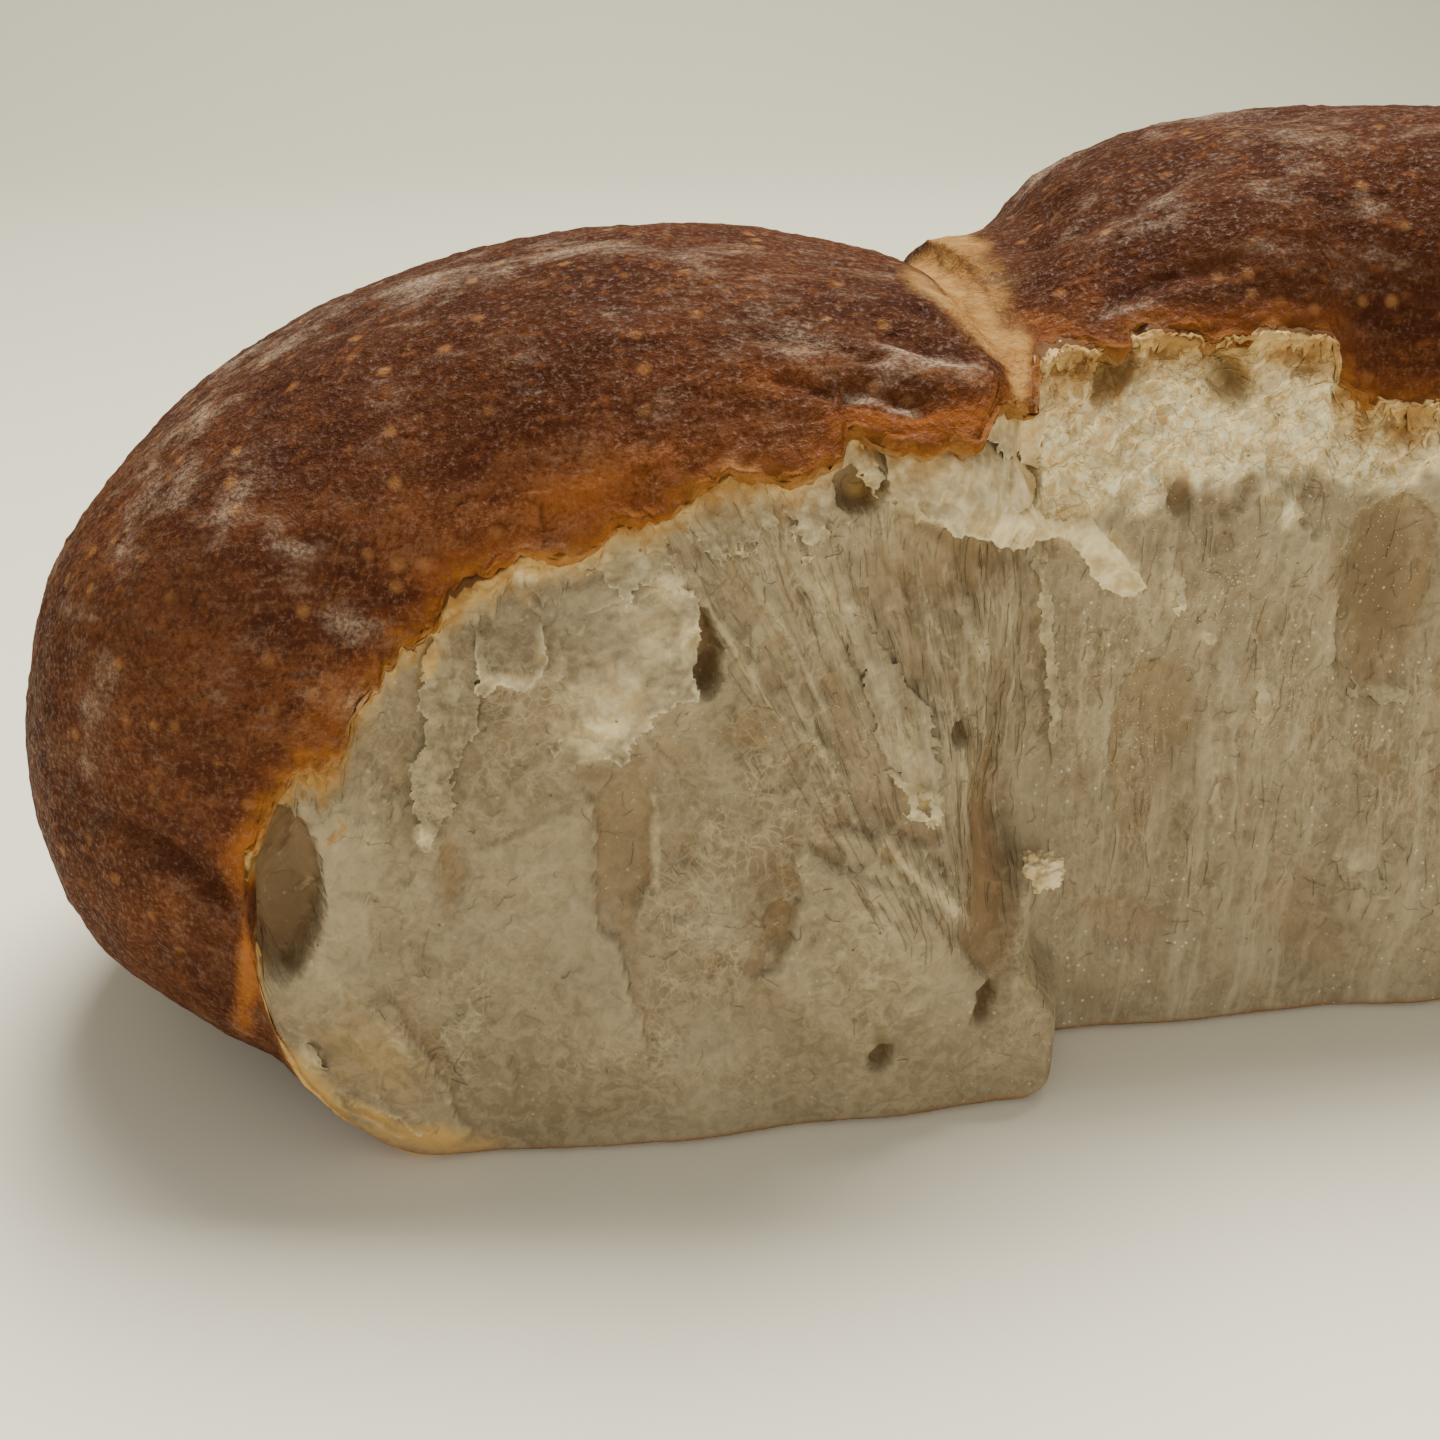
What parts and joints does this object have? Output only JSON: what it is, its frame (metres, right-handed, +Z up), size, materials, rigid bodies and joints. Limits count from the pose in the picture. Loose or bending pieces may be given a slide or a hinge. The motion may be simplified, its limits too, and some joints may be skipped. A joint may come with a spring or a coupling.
{
  "type": "burli roll",
  "caption": "Crusty wheat rolls baked joined side by side, torn along a long side so that the open crumb shows; eaten as bread.",
  "frame": {"origin": "middle of the bounding box's base, on the table the roll rests on", "axes": "+X along the pair of lobes, towards the taller one; +Z up; the torn side faces -Y"},
  "size_m": [0.172, 0.0826, 0.0771],
  "materials": {
    "crust": "baked crust, dull gloss, dusted with flour",
    "crumb": "torn open crumb, matt and slightly moist"
  },
  "bodies": {
    "root": {"burli_roll": "crust"}
  },
  "joints": []
}
